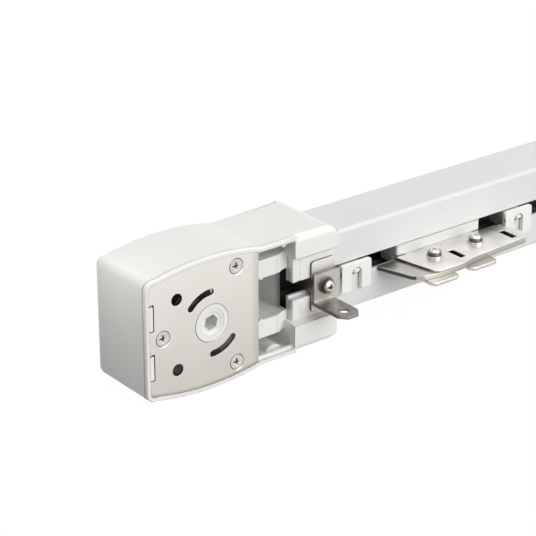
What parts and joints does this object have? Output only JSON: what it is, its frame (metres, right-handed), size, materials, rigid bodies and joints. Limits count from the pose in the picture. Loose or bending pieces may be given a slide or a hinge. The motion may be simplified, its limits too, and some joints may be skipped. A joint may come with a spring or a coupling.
{
  "type": "electric curtain track",
  "caption": "Slotted white aluminium curtain rail with a belt drive between two end housings, a belt-driven master carrier with a steel arm, and wheeled runners with swinging hangers.",
  "frame": {"origin": "on the drive spindle's axis, on the outer face of the drive end's cover plate", "axes": "+X along the rail from the drive housing to the return housing, -Y out of the slot (down once the track is on a ceiling), +Y towards the ceiling, +Z across the rail and up as the track lies on its side"},
  "size_m": [0.682, 0.0696, 0.074],
  "materials": {
    "white_abs": "satin white moulded plastic with faintly glossy skin",
    "white_acetal": "white acetal, satin",
    "stainless": "satin stainless sheet, warm light grey",
    "bracket_steel": "bright stainless sheet with brownish-grey reflections",
    "screw_steel": "bright nickel-plated steel",
    "brass": "sintered bronze",
    "pulley_plastic": "dark grey glass-filled nylon",
    "belt_rubber": "matte black",
    "powder_coat": "satin white powder coat",
    "arm_steel": "satin nickel-plated sheet",
    "runner_acetal": "white acetal, smooth",
    "wheel_nylon": "natural nylon",
    "axle_steel": "bright ground steel"
  },
  "bodies": {
    "track": {"drive_housing": "white_abs", "drive_belt_guide": "white_acetal", "cover_plate": "stainless", "cover_screws": "screw_steel", "spindle_bush": "white_acetal", "rear_bush": "brass", "drive_belt": "belt_rubber", "rail": "powder_coat", "end_bracket": "bracket_steel", "clamp_plate": "stainless", "bracket_screw": "screw_steel", "bracket_washer": "screw_steel", "nut_plate": "stainless", "return_housing": "white_abs", "return_belt_guide": "white_acetal", "return_cover": "stainless", "return_screws": "screw_steel", "return_axle": "axle_steel", "return_end_bracket": "bracket_steel", "return_clamp_plate": "stainless", "return_bracket_screw": "screw_steel", "return_bracket_washer": "screw_steel", "return_nut_plate": "stainless"},
    "drive_spindle": {"drive_hub": "white_acetal", "drive_pulley": "pulley_plastic"},
    "return_wheel": {"return_pulley": "pulley_plastic", "return_bushes": "brass"},
    "master_carrier": {"carrier_body": "runner_acetal", "carrier_arm_upper": "arm_steel", "carrier_arm_lower": "arm_steel", "carrier_jaws": "arm_steel", "carrier_screws": "screw_steel", "carrier_washers": "screw_steel", "carrier_rivets": "screw_steel", "belt_clamp": "runner_acetal", "belt_clamp_screws": "screw_steel"},
    "near_wheelset": {"carrier_wheels_near": "wheel_nylon", "carrier_axle_near": "axle_steel"},
    "far_wheelset": {"carrier_wheels_far": "wheel_nylon", "carrier_axle_far": "axle_steel"},
    "runner_1": {"runner_body_1": "runner_acetal"},
    "runner_wheelset_1": {"runner_wheels_1": "wheel_nylon", "runner_axle_1": "axle_steel"},
    "hanger_1": {"hanger_1": "runner_acetal", "hanger_pin_1": "axle_steel"},
    "runner_2": {"runner_body_2": "runner_acetal"},
    "runner_wheelset_2": {"runner_wheels_2": "wheel_nylon", "runner_axle_2": "axle_steel"},
    "hanger_2": {"hanger_2": "runner_acetal", "hanger_pin_2": "axle_steel"},
    "runner_3": {"runner_body_3": "runner_acetal"},
    "runner_wheelset_3": {"runner_wheels_3": "wheel_nylon", "runner_axle_3": "axle_steel"},
    "hanger_3": {"hanger_3": "runner_acetal", "hanger_pin_3": "axle_steel"},
    "runner_4": {"runner_body_4": "runner_acetal"},
    "runner_wheelset_4": {"runner_wheels_4": "wheel_nylon", "runner_axle_4": "axle_steel"},
    "hanger_4": {"hanger_4": "runner_acetal", "hanger_pin_4": "axle_steel"}
  },
  "joints": [
    {"name": "carrier_slide", "type": "slide", "parent": "track", "child": "master_carrier", "axis": [1, 0, 0], "range_m": [0, 0.2]},
    {"name": "drive_spin", "type": "hinge", "parent": "track", "child": "drive_spindle", "pos_m": [0, 0.03, 0], "axis": [0, 1, 0], "range_deg": [-30, 830]},
    {"name": "return_spin", "type": "hinge", "parent": "track", "child": "return_wheel", "pos_m": [0.6, 0.03, 0], "axis": [0, 1, 0], "range_deg": [-30, 830]},
    {"name": "near_wheel_spin", "type": "hinge", "parent": "master_carrier", "child": "near_wheelset", "pos_m": [0.142, 0.0157, 0], "axis": [0, 0, 1], "range_deg": [-2322, 30]},
    {"name": "far_wheel_spin", "type": "hinge", "parent": "master_carrier", "child": "far_wheelset", "pos_m": [0.186, 0.0157, 0], "axis": [0, 0, 1], "range_deg": [-2322, 30]},
    {"name": "runner_slide_1", "type": "slide", "parent": "track", "child": "runner_1", "axis": [1, 0, 0], "range_m": [-0.005, 0.005]},
    {"name": "runner_wheel_spin_1", "type": "hinge", "parent": "runner_1", "child": "runner_wheelset_1", "pos_m": [0.1015, 0.0157, 0], "axis": [0, 0, 1], "range_deg": [-87, 87]},
    {"name": "hanger_swing_1", "type": "hinge", "parent": "runner_1", "child": "hanger_1", "pos_m": [0.1015, 0.0069, -0.0012], "axis": [-1, 0, 0], "range_deg": [0, 90]},
    {"name": "runner_slide_2", "type": "slide", "parent": "track", "child": "runner_2", "axis": [1, 0, 0], "range_m": [0, 0.2]},
    {"name": "runner_wheel_spin_2", "type": "hinge", "parent": "runner_2", "child": "runner_wheelset_2", "pos_m": [0.2235, 0.0157, 0], "axis": [0, 0, 1], "range_deg": [-2322, 30]},
    {"name": "hanger_swing_2", "type": "hinge", "parent": "runner_2", "child": "hanger_2", "pos_m": [0.2235, 0.0069, -0.0012], "axis": [-1, 0, 0], "range_deg": [0, 90]},
    {"name": "runner_slide_3", "type": "slide", "parent": "track", "child": "runner_3", "axis": [1, 0, 0], "range_m": [-0.01, 0]},
    {"name": "runner_wheel_spin_3", "type": "hinge", "parent": "runner_3", "child": "runner_wheelset_3", "pos_m": [0.468, 0.0157, 0], "axis": [0, 0, 1], "range_deg": [-30, 145]},
    {"name": "hanger_swing_3", "type": "hinge", "parent": "runner_3", "child": "hanger_3", "pos_m": [0.468, 0.0069, -0.0012], "axis": [-1, 0, 0], "range_deg": [0, 90]},
    {"name": "runner_slide_4", "type": "slide", "parent": "track", "child": "runner_4", "axis": [1, 0, 0], "range_m": [0, 0.01]},
    {"name": "runner_wheel_spin_4", "type": "hinge", "parent": "runner_4", "child": "runner_wheelset_4", "pos_m": [0.492, 0.0157, 0], "axis": [0, 0, 1], "range_deg": [-145, 30]},
    {"name": "hanger_swing_4", "type": "hinge", "parent": "runner_4", "child": "hanger_4", "pos_m": [0.492, 0.0069, -0.0012], "axis": [-1, 0, 0], "range_deg": [0, 90]}
  ],
  "couplings": [
    {"joint": "drive_spin", "follows": "carrier_slide", "rad_per_m": 69.813},
    {"joint": "return_spin", "follows": "carrier_slide", "rad_per_m": 69.813},
    {"joint": "near_wheel_spin", "follows": "carrier_slide", "rad_per_m": -200},
    {"joint": "far_wheel_spin", "follows": "carrier_slide", "rad_per_m": -200},
    {"joint": "runner_wheel_spin_1", "follows": "runner_slide_1", "rad_per_m": -200},
    {"joint": "runner_slide_2", "follows": "carrier_slide", "ratio": 1},
    {"joint": "runner_wheel_spin_2", "follows": "carrier_slide", "rad_per_m": -200},
    {"joint": "runner_wheel_spin_3", "follows": "runner_slide_3", "rad_per_m": -200},
    {"joint": "runner_wheel_spin_4", "follows": "runner_slide_4", "rad_per_m": -200}
  ]
}
